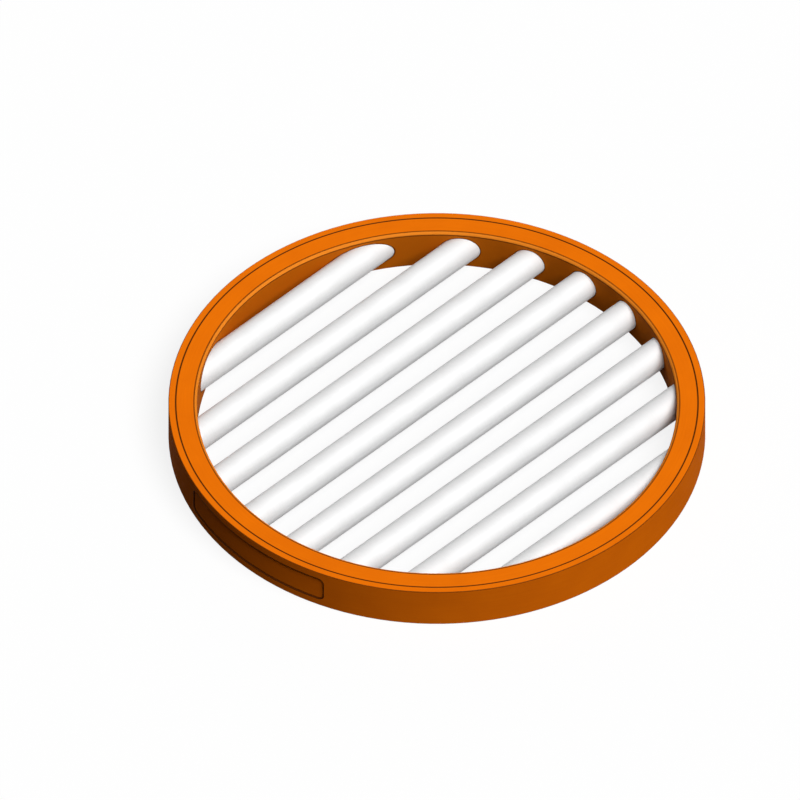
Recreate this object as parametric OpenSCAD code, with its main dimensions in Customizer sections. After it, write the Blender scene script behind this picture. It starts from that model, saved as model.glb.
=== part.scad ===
// Hopper magnet: a grid of stainless magnet rods held in a round orange plastic frame.
// It lies in the neck of a hopper, and granulate falls through between its rods.
// Millimetres, +Z up. The rods run along Y and the label pocket faces -Y.
// The origin is the centre of the underside.

/* [Ring frame] */
// Clear diameter of the opening inside the ring
clear_d = 395; // [360:1:580]
// Wall of the ring, from the clear opening out to the band
ring_wall = 17.5; // [14:0.5:30]
// Height of the ring and of its band
ring_h = 37; // [34:0.5:60]
// Radius of the rounded edge at the top of the opening
lip_r = 2.5; // [1:0.5:5]

/* [Outer band] */
// Thickness of the band that closes the rod bores
band_t = 6; // [3:0.5:12]
// Gap all round between the ring and the band
band_fit = 0.1; // [0.05:0.05:0.3]
// Leg of the small bevel on the turned edges
edge_break = 0.4; // [0.2:0.1:1]

/* [Label pocket] */
// Width of the shallow label pocket, straight across
pocket_w = 151; // [60:1:200]
// Height of the label pocket
pocket_h = 23; // [12:0.5:30]
// Depth of the label pocket
pocket_depth = 1; // [0.4:0.1:2.5]
// Corner radius of the label pocket
pocket_r = 5; // [1:0.5:5.5]

/* [Magnet rods] */
// Outside diameter of a rod
rod_d = 25.4; // [18:0.1:30]
// Distance between the axes of neighbouring rods
rod_pitch = 50; // [36:1:90]
// Least gap between an outermost rod and the ring
side_gap = 5; // [2:0.5:12]
// Wall of the rod's stainless tube
tube_wall = 1; // [0.6:0.1:2]
// Gap all round between a rod and its bore in the ring
rod_fit = 0.1; // [0.05:0.05:0.3]

/* [Rod core] */
// Length of one magnet
magnet_l = 20; // [8:0.5:40]
// Leg of the small bevel on the edges of a magnet
magnet_edge = 0.5; // [0.2:0.1:1]
// Thickness of one steel pole disc
pole_l = 3; // [1:0.5:8]
// Gap all round between the core and the tube
core_fit = 0.1; // [0.05:0.05:0.3]
// Least length of an end plug, along its shorter side
plug_l = 8; // [3:0.5:20]

/* [Hidden] */
$fn = 180;

// Turned radii, from the opening outwards
ring_ir = clear_d / 2;
ring_or = ring_ir + ring_wall;
band_ir = ring_or + band_fit;
band_or = band_ir + band_t;

// Radii of a rod, from its core outwards
rod_r = rod_d / 2;
tube_bore_r = rod_r - tube_wall;
core_r = tube_bore_r - core_fit;
rod_bore_r = rod_r + rod_fit;
rod_z = ring_h / 2;

// Angle between the points of the lip's rounding
lip_step = 10;

// How far a cutting shape reaches past the face that it cuts
over = 1;

// Pairs of rods fill the opening outwards from the middle
rod_n = 2 * floor((ring_ir - rod_r - side_gap) / rod_pitch + 0.5);
function rod_x(i) = (i - (rod_n + 1) / 2) * rod_pitch;

// A rod's shorter side reaches the outer face of the ring at this distance along Y
function seat_y(i) = sqrt(pow(ring_or, 2) - pow(abs(rod_x(i)) + rod_r, 2));

// Magnets alternate with pole discs, and a disc ends the stack on each side
stack_step = magnet_l + pole_l;
function magnets_in(i) = floor((2 * (seat_y(i) - plug_l) - pole_l) / stack_step);
function stack_half(i) = (magnets_in(i) * stack_step + pole_l) / 2;

orange = [0.925, 0.45, 0.03];
stainless = [0.86, 0.87, 0.88];
nickel = [0.72, 0.72, 0.70];
pole_steel = [0.45, 0.46, 0.48];

ROD_PIECES = ["rod_tube_", "front_plug_", "back_plug_", "magnets_", "pole_discs_"];

// Diamond that takes a bevel off a corner of a turned section
module edge_cut() {
    rotate(45) square(edge_break * sqrt(2), center = true);
}

// Square section between two radii, with its listed corners bevelled
module bevelled_section(r_in, r_out, corner_radii) {
    difference() {
        translate([r_in, 0]) square([r_out - r_in, ring_h]);
        for (r = corner_radii, z = [0, ring_h]) {
            translate([r, z]) edge_cut();
        }
    }
}

// What the rounded top edge of the opening takes off the ring's section
module lip_cut() {
    rounding = [for (a = [0:lip_step:90]) [lip_r * (1 - cos(a)), lip_r * sin(a)]];
    outside = [[lip_r, lip_r + over], [-over, lip_r + over], [-over, 0]];
    translate([ring_ir, ring_h - lip_r]) polygon(concat(rounding, outside));
}

// Places a shape that stands along Z on the axis of one rod, its top end to the front
module on_rod_axis(i) {
    translate([rod_x(i), 0, rod_z]) rotate([90, 0, 0]) children();
}

// Round space inside the band, which trims the rods' ends to the ring's outer face
module inside_band() {
    cylinder(r = ring_or, h = ring_h);
}

// Turned ring with a bore through both of its walls for each rod
module ring_frame() {
    color(orange) difference() {
        rotate_extrude() difference() {
            bevelled_section(ring_ir, ring_or, [ring_or]);
            translate([ring_ir, 0]) edge_cut();
            lip_cut();
        }
        for (i = [1:rod_n]) {
            on_rod_axis(i) cylinder(r = rod_bore_r, h = 2 * (ring_or + over), center = true);
        }
    }
}

// Outline of the label pocket, seen from the front
module pocket_outline() {
    square([pocket_w, pocket_h - 2 * pocket_r], center = true);
    square([pocket_w - 2 * pocket_r, pocket_h], center = true);
    for (side = [-1, 1], end = [-1, 1]) {
        translate([side * (pocket_w / 2 - pocket_r), end * (pocket_h / 2 - pocket_r)])
            circle(pocket_r);
    }
}

// Shallow pocket whose floor follows the curve of the band
module label_pocket() {
    difference() {
        translate([0, 0, ring_h / 2]) rotate([90, 0, 0])
            linear_extrude(band_or + over) pocket_outline();
        translate([0, 0, -over]) cylinder(r = band_or - pocket_depth, h = ring_h + 2 * over);
    }
}

// Band round the ring, which keeps the rods from sliding out of their bores
module outer_band() {
    color(orange) difference() {
        rotate_extrude() bevelled_section(band_ir, band_or, [band_ir, band_or]);
        label_pocket();
    }
}

// Stainless tube of one rod, its ends trimmed to the ring's outer face
module rod_tube(i) {
    color(stainless) intersection() {
        on_rod_axis(i) difference() {
            cylinder(r = rod_r, h = 2 * ring_or, center = true);
            cylinder(r = tube_bore_r, h = 2 * (ring_or + over), center = true);
        }
        inside_band();
    }
}

// Stainless plug from the end of the stack out to the trimmed end of the tube,
// with end = 1 at the front and end = -1 at the back
module end_plug(i, end) {
    color(stainless) intersection() {
        on_rod_axis(i) mirror([0, 0, end < 0 ? 1 : 0])
            translate([0, 0, stack_half(i)]) cylinder(r = core_r, h = ring_or - stack_half(i));
        inside_band();
    }
}

// One magnet, standing on its end, with bevelled edges
module magnet() {
    rotate_extrude() polygon([
        [0, 0], [core_r - magnet_edge, 0], [core_r, magnet_edge],
        [core_r, magnet_l - magnet_edge], [core_r - magnet_edge, magnet_l], [0, magnet_l]
    ]);
}

// Repeats a shape along a rod once for each magnet and disc, the first at start from the middle
module stack_row(i, count, start) {
    on_rod_axis(i) for (k = [0:count - 1]) {
        translate([0, 0, start + k * stack_step]) children();
    }
}

// Magnets of one rod
module magnets(i) {
    color(nickel) stack_row(i, magnets_in(i), pole_l - stack_half(i)) magnet();
}

// Steel pole discs between the magnets and at both ends of the stack
module pole_discs(i) {
    color(pole_steel) stack_row(i, magnets_in(i) + 1, -stack_half(i)) cylinder(r = core_r, h = pole_l);
}

ring_frame();
outer_band();
for (i = [1:rod_n]) {
    rod_tube(i);
    end_plug(i, 1);
    end_plug(i, -1);
    magnets(i);
    pole_discs(i);
}
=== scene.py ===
# Looks of the hopper magnet: orange plastic ring and band, satin stainless magnet rods.
import math

import bpy
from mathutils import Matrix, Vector


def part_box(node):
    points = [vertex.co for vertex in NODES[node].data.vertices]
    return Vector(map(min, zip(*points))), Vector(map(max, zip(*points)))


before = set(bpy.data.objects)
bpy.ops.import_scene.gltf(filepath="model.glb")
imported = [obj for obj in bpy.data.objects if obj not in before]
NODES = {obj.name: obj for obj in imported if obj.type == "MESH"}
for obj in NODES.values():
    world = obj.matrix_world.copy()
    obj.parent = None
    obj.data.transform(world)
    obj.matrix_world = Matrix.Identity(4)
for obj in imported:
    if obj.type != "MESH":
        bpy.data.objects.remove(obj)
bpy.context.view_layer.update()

MM = 0.001

# Sizes in metres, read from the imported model
BAND_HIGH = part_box("outer_band")[1]
RING_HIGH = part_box("ring_frame")[1]
BAND_RADIUS = BAND_HIGH.x
RING_RADIUS = RING_HIGH.x
TOP_Z = BAND_HIGH.z
MID_Z = TOP_Z / 2
ROD_LOW, ROD_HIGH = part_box("rod_tube_1")
ROD_RADIUS = (ROD_HIGH.x - ROD_LOW.x) / 2
ROD_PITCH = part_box("rod_tube_2")[0].x - ROD_LOW.x

# Sizes in metres of forms that no piece's box gives
OPENING_RADIUS = 197.5 * MM
LIP_RADIUS = 2.5 * MM
JOINT_GAP = 0.1 * MM
EDGE_BREAK = 0.4 * MM
POCKET_WIDTH = 151 * MM
POCKET_HEIGHT = 23 * MM
POCKET_CORNER = 5 * MM

# The photograph's view: a parallel projection from 45 degrees above the front right
CAMERA_AZIMUTH = 45
CAMERA_ELEVATION = 45
CAMERA_DISTANCE = 2.0
PHOTO_SIDE_PX = 800
PHOTO_PX_PER_M = 1214.5
PHOTO_TOP_CENTRE_PX = (436.35, 402.1)

# A noise texture's values lie mostly between these
NOISE_LOW, NOISE_HIGH = 0.3, 0.7


class Shader:
    """Builds a node tree in few words. An input may be a number, a colour or another node's output."""

    def __init__(self, owner):
        owner.use_nodes = True
        owner.node_tree.nodes.clear()
        self.tree = owner.node_tree

    def set(self, socket, value):
        if isinstance(value, bpy.types.NodeSocket):
            self.tree.links.new(value, socket)
        else:
            socket.default_value = value

    def add(self, kind, inputs, **settings):
        node = self.tree.nodes.new(kind)
        for key, value in settings.items():
            setattr(node, key, value)
        for key, value in inputs.items():
            self.set(node.inputs[key], value)
        return node

    def math(self, operation, a, b=0.0):
        return self.add("ShaderNodeMath", {0: a, 1: b}, operation=operation).outputs[0]

    def vector_math(self, operation, a, b=(0, 0, 0)):
        return self.add("ShaderNodeVectorMath", {0: a, 1: b}, operation=operation).outputs["Vector"]

    def apart(self, a, b):
        """How far two values lie apart."""
        return self.math("ABSOLUTE", self.math("SUBTRACT", a, b))

    def vector(self, x=0.0, y=0.0, z=0.0):
        return self.add("ShaderNodeCombineXYZ", {0: x, 1: y, 2: z}).outputs[0]

    def parts(self, vector):
        return self.add("ShaderNodeSeparateXYZ", {0: vector}).outputs

    def length(self, x, y):
        flat = self.vector(x, y)
        return self.add("ShaderNodeVectorMath", {0: flat}, operation="LENGTH").outputs["Value"]

    def place(self):
        """Where a point lies in the frame that all pieces share, in metres."""
        return self.add("ShaderNodeTexCoord", {}).outputs["Object"]

    def noise(self, place, scale, detail=3.0, roughness=0.5):
        inputs = {"Vector": place, "Scale": scale, "Detail": detail, "Roughness": roughness}
        return self.add("ShaderNodeTexNoise", inputs).outputs["Fac"]

    def ramp(self, value, low, high, to_low=0.0, to_high=1.0):
        inputs = {"Value": value, "From Min": low, "From Max": high, "To Min": to_low, "To Max": to_high}
        return self.add("ShaderNodeMapRange", inputs).outputs["Result"]

    def fade(self, distance, full, none):
        """1 up to the distance full, falling to 0 at the distance none."""
        return self.ramp(distance, full, none, 1.0, 0.0)

    def mix(self, factor, a, b):
        node = self.add("ShaderNodeMix", {0: factor, 6: a, 7: b}, data_type="RGBA")
        return node.outputs[2]

    def chain(self, operation, first, *rest):
        """Brings any number of values together, each with the result so far."""
        result = first
        for value in rest:
            result = self.math(operation, result, value)
        return result

    def highest(self, *masks):
        return self.chain("MAXIMUM", *masks)

    def overlap(self, *masks):
        return self.chain("MULTIPLY", *masks)

    def bump(self, height, strength, distance, normal=None):
        inputs = {"Height": height, "Strength": strength, "Distance": distance}
        if normal is not None:
            inputs["Normal"] = normal
        return self.add("ShaderNodeBump", inputs).outputs["Normal"]


def rgba(r, g, b):
    return (r, g, b, 1.0)


def grey(value):
    return rgba(value, value, value)


# Share of the second tone that follows the clouds of a material, the rest of it following the fine lines
CLOUD_SHARE = 0.6


def second_tone(s, cloud, lines):
    """How much of a material's second tone shows."""
    cloudy = s.ramp(cloud, NOISE_LOW, NOISE_HIGH, 0.0, CLOUD_SHARE)
    lined = s.ramp(lines, NOISE_LOW, NOISE_HIGH, 0.0, 1.0 - CLOUD_SHARE)
    return s.math("ADD", cloudy, lined)


def uneven_roughness(s, first, second, low, high):
    """Roughness that follows the sum of two noises."""
    return s.ramp(s.math("ADD", first, second), 2 * NOISE_LOW, 2 * NOISE_HIGH, low, high)


# Orange plastic

ORANGE = rgba(0.895, 0.186, 0.0015)
ORANGE_DEEP = rgba(0.80, 0.158, 0.0015)
# Painted highlight on the rounded lip
PAINTED_LIP_HIGHLIGHT = rgba(0.79, 0.222, 0.015)
# Painted shade on the wall of the opening
WALL_PAINTED_SHADE = rgba(0.53, 0.123, 0.003)
# Dark tone of grime in the joint and on edges, and of painted shade
GRIME_AND_SHADE = rgba(0.09, 0.022, 0.003)
PLASTIC_SHINE = 0.03

# How much of the dark tone shows as painted shade on upright faces, and as grime on worn edges and tool
# lines
UPRIGHT_SHADE_SHARE = 0.17
FAINT_SHARE = 0.8

# Half widths of the fine lines, and the share of a half width that is at full strength
JOINT_LINE = 0.9 * MM
LIP_LINE = 0.8 * MM
LINE_CORE = 0.4

# A point counts as on the wall of the opening up to this far outside the wall's radius
WALL_SLACK = 0.3 * MM

# Distances at which grime on the outer edges, and painted shade elsewhere, is at full strength and at
# which it ends:
# from an outer edge, from a rod's axis, from the axis of the ring, and twice from the outline of the
# pocket
EDGE_DIRT = (EDGE_BREAK, 2.2 * EDGE_BREAK)
MOUTH_SHADE = (ROD_RADIUS + 0.3 * MM, ROD_RADIUS + 1.1 * MM)
WALL_SHADE_REACH = (OPENING_RADIUS + 0.1 * MM, OPENING_RADIUS + 0.4 * MM)
POCKET_FOOT = (0.2 * MM, 1.5 * MM)
POCKET_RIM = (0.3 * MM, 0.8 * MM)

# Depths in from the band's outer face. The pocket's floor is deeper than the first and less deep
# than the second.
POCKET_INSIDE = 0.15 * MM
POCKET_BEHIND = 2 * MM

# How far inside the rounding of the lip the painted highlight starts, and where it is full
HIGHLIGHT_START, HIGHLIGHT_FULL = 0.05 * MM, 0.6 * MM

# Upward part of a face's normal: up to the first the face is upright, and from the second it lies flat
UPRIGHT, LYING = 0.3, 0.7

# Scale of the plastic's soft mottling and of its grain
MOTTLE_SCALE = 28.0
GRAIN_SCALE = 2600.0

# Scale of the lathe's marks round the ring and across it
LATHE_AROUND = 5
LATHE_ACROSS = 700.0


def below_face(s, z):
    """How far a point lies from the nearer end face of the ring and the band."""
    return s.math("SUBTRACT", MID_Z, s.apart(z, MID_Z))


def in_opening(s, radius):
    """Mask of the wall of the opening."""
    return s.math("LESS_THAN", radius, OPENING_RADIUS + WALL_SLACK)


def line_at(s, value, place, half_width):
    """1 where a value comes near a place, fading to 0 at the half width."""
    return s.fade(s.apart(value, place), LINE_CORE * half_width, half_width)


def joint_line(s, radius):
    """Mask of the fine grimy line where the ring and the band meet."""
    return line_at(s, radius, RING_RADIUS + JOINT_GAP / 2, JOINT_LINE)


def lip_lines(s, z, radius):
    """Mask of the lines that the turning tool leaves where the rounding of the lip begins and ends."""
    on_top = s.math("GREATER_THAN", z, MID_Z)
    on_face = s.overlap(line_at(s, radius, OPENING_RADIUS + LIP_RADIUS, LIP_LINE), on_top)
    on_wall = s.overlap(line_at(s, z, TOP_Z - LIP_RADIUS, LIP_LINE), in_opening(s, radius))
    return s.highest(on_face, on_wall)


def handled_edges(s, z, radius):
    """Mask of the edges round the outside, which pick up dirt from the steel that the frame sits in."""
    off_edge = s.length(s.math("SUBTRACT", BAND_RADIUS, radius), below_face(s, z))
    return s.fade(off_edge, *EDGE_DIRT)


def rod_mouth_shade(s, x, z, radius):
    """Mask of painted shade in the corner round each rod where it goes into the wall of the opening.
    The rods stand a pitch apart, and the middle two half a pitch from the centre."""
    from_last = s.math("FRACT", s.math("DIVIDE", x, ROD_PITCH))
    off_axis_x = s.math("MULTIPLY", s.math("SUBTRACT", from_last, 0.5), ROD_PITCH)
    off_axis = s.length(off_axis_x, s.math("SUBTRACT", z, MID_Z))
    return s.overlap(s.fade(off_axis, *MOUTH_SHADE), in_opening(s, radius))


def off_pocket_outline(s, x, z):
    """How far a point lies from the outline of the label pocket, inside it or outside it."""
    out_x = s.math("SUBTRACT", s.math("ABSOLUTE", x), POCKET_WIDTH / 2 - POCKET_CORNER)
    out_z = s.math("SUBTRACT", s.apart(z, MID_Z), POCKET_HEIGHT / 2 - POCKET_CORNER)
    round_part = s.length(s.math("MAXIMUM", out_x, 0.0), s.math("MAXIMUM", out_z, 0.0))
    straight_part = s.math("MINIMUM", s.math("MAXIMUM", out_x, out_z), 0.0)
    outwards = s.math("SUBTRACT", s.math("ADD", round_part, straight_part), POCKET_CORNER)
    return s.math("ABSOLUTE", outwards)


def pocket_painted_shade(s, x, y, z, radius):
    """Mask of painted shade at the foot of the label pocket's walls, and of a dark line along its rim."""
    off_outline = off_pocket_outline(s, x, z)
    inside = s.math("LESS_THAN", radius, BAND_RADIUS - POCKET_INSIDE)
    foot = s.overlap(inside, s.fade(off_outline, *POCKET_FOOT))
    rim = s.fade(off_outline, *POCKET_RIM)
    in_front = s.math("LESS_THAN", y, 0.0)
    near_outside = s.math("GREATER_THAN", radius, BAND_RADIUS - POCKET_BEHIND)
    return s.overlap(s.highest(foot, rim), in_front, near_outside)


def painted_lip_highlight(s, z, radius):
    """Mask of the painted highlight on the rounded edge of the opening, strongest at the middle of the
    rounding.
    """
    inwards = s.math("SUBTRACT", OPENING_RADIUS + LIP_RADIUS, radius)
    upwards = s.math("SUBTRACT", z, TOP_Z - LIP_RADIUS)
    return s.ramp(s.math("MINIMUM", inwards, upwards), HIGHLIGHT_START, HIGHLIGHT_FULL)


def shaded_upright_faces(s):
    """Mask of the faces that stand upright, which are painted darker than the top as shade."""
    normal = s.add("ShaderNodeNewGeometry", {}).outputs["Normal"]
    upwards = s.parts(normal)[2]
    return s.fade(s.math("ABSOLUTE", upwards), UPRIGHT, LYING)


def turning_lines(s, x, y, z, radius):
    """Noise drawn out round the ring, as a lathe leaves it: long along the turn, narrow across it."""
    turn = s.vector_math("NORMALIZE", s.vector(x, y))
    around = s.vector_math("MULTIPLY", turn, (LATHE_AROUND, LATHE_AROUND, 0))
    across = s.math("MULTIPLY", s.math("ADD", radius, z), LATHE_ACROSS)
    drawn_out = s.vector_math("ADD", around, s.vector(z=across))
    return s.noise(drawn_out, scale=1.0, detail=4.0, roughness=0.6)


def turned_plastic():
    """Solid orange plastic: fine grain, faint turning lines, grime in its grooves, painted shade, painted
    lip highlight.
    """
    material = bpy.data.materials.new("turned_orange_plastic")
    s = Shader(material)
    place = s.place()
    x, y, z = s.parts(place)
    radius = s.length(x, y)
    lines = turning_lines(s, x, y, z, radius)
    mottle = s.noise(place, MOTTLE_SCALE)
    grain = s.noise(place, GRAIN_SCALE, detail=2.0, roughness=0.6)

    colour = s.mix(second_tone(s, mottle, lines), ORANGE, ORANGE_DEEP)
    # Painted shade: the upright faces are darker than the top
    colour = s.mix(s.overlap(shaded_upright_faces(s), UPRIGHT_SHADE_SHARE), colour, GRIME_AND_SHADE)
    # Painted shade on the wall of the opening
    colour = s.mix(s.fade(radius, *WALL_SHADE_REACH), colour, WALL_PAINTED_SHADE)
    # Painted highlight on the rounding of the lip
    colour = s.mix(painted_lip_highlight(s, z, radius), colour, PAINTED_LIP_HIGHLIGHT)
    # Grime in the joint, and painted shade in the label pocket and round the mouth of each rod
    deep = s.highest(joint_line(s, radius), pocket_painted_shade(s, x, y, z, radius), rod_mouth_shade(s, x, z, radius))
    faint = s.highest(lip_lines(s, z, radius), handled_edges(s, z, radius))
    colour = s.mix(s.highest(deep, s.overlap(faint, FAINT_SHARE)), colour, GRIME_AND_SHADE)

    grained = s.bump(grain, strength=0.25, distance=0.04 * MM)
    shader = s.add("ShaderNodeBsdfPrincipled", {
        "Base Color": colour,
        "Roughness": uneven_roughness(s, lines, grain, low=0.66, high=0.80),
        "Normal": s.bump(lines, strength=0.5, distance=0.05 * MM, normal=grained),
        "Specular IOR Level": PLASTIC_SHINE,
    })
    s.add("ShaderNodeOutputMaterial", {"Surface": shader.outputs[0]})
    return material


# Metals

NICKEL = rgba(0.66, 0.63, 0.57)
NICKEL_DEEP = rgba(0.60, 0.57, 0.52)

# Scale of the grinding lines, which are narrow along a rod and long round it, and of the clouds
GRINDING_SCALE = (60, 1500, 60)
CLOUD_SCALE = 40.0


def ground_metal(name, mirror, bright, dull, edge, rough_low, rough_high):
    """Ground metal: fine lines round each rod and soft cloudy marks along it.
    The mirror share reflects as smooth metal does, and the rest scatters as a blasted surface.
    The edge tone is what it reflects at a glancing view."""
    material = bpy.data.materials.new(name)
    s = Shader(material)
    place = s.place()
    stretched = s.vector_math("MULTIPLY", place, GRINDING_SCALE)
    lines = s.noise(stretched, scale=1.0, roughness=0.6)
    cloud = s.noise(place, CLOUD_SCALE)
    shader = s.add("ShaderNodeBsdfPrincipled", {
        "Base Color": s.mix(second_tone(s, cloud, lines), bright, dull),
        "Metallic": mirror,
        "Roughness": uneven_roughness(s, lines, cloud, rough_low, rough_high),
        "Normal": s.bump(lines, strength=0.5, distance=0.02 * MM),
        "Specular Tint": edge,
    })
    s.add("ShaderNodeOutputMaterial", {"Surface": shader.outputs[0]})
    return material


def assign(material, *pieces):
    """Gives a material to each node whose name starts with one of the pieces' names."""
    for name, node in NODES.items():
        if name.startswith(pieces):
            node.data.materials.clear()
            node.data.materials.append(material)


def dress():
    assign(turned_plastic(), "ring_frame", "outer_band")
    stainless = ground_metal(
        "satin_stainless", mirror=0.28, bright=grey(0.82), dull=grey(0.765), edge=grey(0.6),
        rough_low=0.68, rough_high=0.78,
    )
    assign(stainless, "rod_tube", "front_plug", "back_plug")
    nickel = ground_metal(
        "nickel_plate", mirror=1.0, bright=NICKEL, dull=NICKEL_DEEP, edge=grey(0.8),
        rough_low=0.22, rough_high=0.32,
    )
    assign(nickel, "magnets")
    steel = ground_metal(
        "pole_steel", mirror=1.0, bright=grey(0.42), dull=grey(0.36), edge=grey(0.8),
        rough_low=0.38, rough_high=0.50,
    )
    assign(steel, "pole_discs")


# Surroundings

# The key light comes from above, to the right of the camera, and the fill from behind the object.
# Spreads are in degrees, and directions point from the object towards the lamp.
KEY_POWER = 3.4
KEY_SPREAD = 40
KEY_TOWARDS = (0.559, -0.016, 0.829)
FILL_POWER = 0.3
FILL_SPREAD = 30
FILL_TOWARDS = (-0.69, 0.69, 0.20)
AMBIENT_STRENGTH = 0.042

# How much of the floor is plain white, the rest taking light and shadow, and its tone for bounced light
FLOOR_WHITE_SHARE = 0.85
FLOOR_BOUNCE_TONE = 0.02
FLOOR_HALF_SIDE = 4.0
FLOOR_DROP = 0.05 * MM


def seen_directly(s):
    """1 where the camera sees a surface directly, in a reflection or through glass,
    and 0 for the rays that only carry light from one surface to another."""
    rays = s.add("ShaderNodeLightPath", {}).outputs
    seen = s.highest(rays["Is Camera Ray"], rays["Is Glossy Ray"], rays["Is Transmission Ray"])
    not_bounced = s.math("LESS_THAN", rays["Diffuse Depth"], 0.5)
    return s.overlap(seen, not_bounced)


def floor_material():
    """Pale floor that looks white and keeps a soft shadow."""
    material = bpy.data.materials.new("pale_floor")
    s = Shader(material)
    lit = s.add("ShaderNodeBsdfDiffuse", {"Color": grey(1.0)}).outputs[0]
    white = s.add("ShaderNodeEmission", {"Color": grey(1.0), "Strength": 1.0}).outputs[0]
    shown = s.add("ShaderNodeMixShader", {0: FLOOR_WHITE_SHARE, 1: lit, 2: white}).outputs[0]
    unseen = s.add("ShaderNodeBsdfDiffuse", {"Color": grey(FLOOR_BOUNCE_TONE)}).outputs[0]
    surface = s.add("ShaderNodeMixShader", {0: seen_directly(s), 1: unseen, 2: shown}).outputs[0]
    s.add("ShaderNodeOutputMaterial", {"Surface": surface})
    return material


def make_floor():
    """Flat floor just under the object, so that the two don't share a plane."""
    half = FLOOR_HALF_SIDE
    mesh = bpy.data.meshes.new("floor")
    corners = [(-half, -half, 0), (half, -half, 0), (half, half, 0), (-half, half, 0)]
    mesh.from_pydata(corners, [], [(0, 1, 2, 3)])
    mesh.materials.append(floor_material())
    floor = bpy.data.objects.new("floor", mesh)
    floor.location.z = -FLOOR_DROP
    bpy.context.scene.collection.objects.link(floor)


def make_world():
    """White where the camera or a reflection looks, and a low even light on everything else."""
    world = bpy.data.worlds.new("studio")
    s = Shader(world)
    ambient = s.add("ShaderNodeBackground", {"Color": grey(1.0), "Strength": AMBIENT_STRENGTH}).outputs[0]
    white = s.add("ShaderNodeBackground", {"Color": grey(1.0), "Strength": 1.0}).outputs[0]
    surface = s.add("ShaderNodeMixShader", {0: seen_directly(s), 1: ambient, 2: white}).outputs[0]
    s.add("ShaderNodeOutputWorld", {"Surface": surface})
    bpy.context.scene.world = world


def soft_lamp(name, power, spread, towards):
    """Lamp as far off as the sun, whose spread in degrees makes its shadows soft."""
    light = bpy.data.lights.new(name, "SUN")
    light.energy = power
    light.angle = math.radians(spread)
    lamp = bpy.data.objects.new(name, light)
    lamp.rotation_mode = "QUATERNION"
    lamp.rotation_quaternion = Vector(towards).to_track_quat("Z", "Y")
    bpy.context.scene.collection.objects.link(lamp)
    return lamp


def make_lights():
    """Large soft key light, and a weak fill that lights the far side a little and makes no highlight."""
    soft_lamp("key", KEY_POWER, KEY_SPREAD, KEY_TOWARDS)
    fill = soft_lamp("fill", FILL_POWER, FILL_SPREAD, FILL_TOWARDS)
    fill.visible_glossy = False


def make_camera():
    """Camera of the photograph, aimed so that the middle of the top face lands on the same pixel."""
    azimuth = math.radians(CAMERA_AZIMUTH)
    elevation = math.radians(CAMERA_ELEVATION)
    back = Vector((
        math.sin(azimuth) * math.cos(elevation),
        -math.cos(azimuth) * math.cos(elevation),
        math.sin(elevation),
    ))
    right = Vector((math.cos(azimuth), math.sin(azimuth), 0))
    up = back.cross(right)
    centre_px = (PHOTO_SIDE_PX - 1) / 2  # pixels are counted from 0
    target = Vector((0, 0, TOP_Z))
    target -= right * ((PHOTO_TOP_CENTRE_PX[0] - centre_px) / PHOTO_PX_PER_M)
    target += up * ((PHOTO_TOP_CENTRE_PX[1] - centre_px) / PHOTO_PX_PER_M)
    data = bpy.data.cameras.new("camera")
    data.type = "ORTHO"
    data.ortho_scale = PHOTO_SIDE_PX / PHOTO_PX_PER_M
    camera = bpy.data.objects.new("camera", data)
    camera.location = target + back * CAMERA_DISTANCE
    camera.rotation_mode = "QUATERNION"
    camera.rotation_quaternion = back.to_track_quat("Z", "Y")
    bpy.context.scene.collection.objects.link(camera)
    bpy.context.scene.camera = camera


make_camera()
dress()
make_floor()
make_world()
make_lights()
bpy.context.scene.view_settings.view_transform = "Standard"
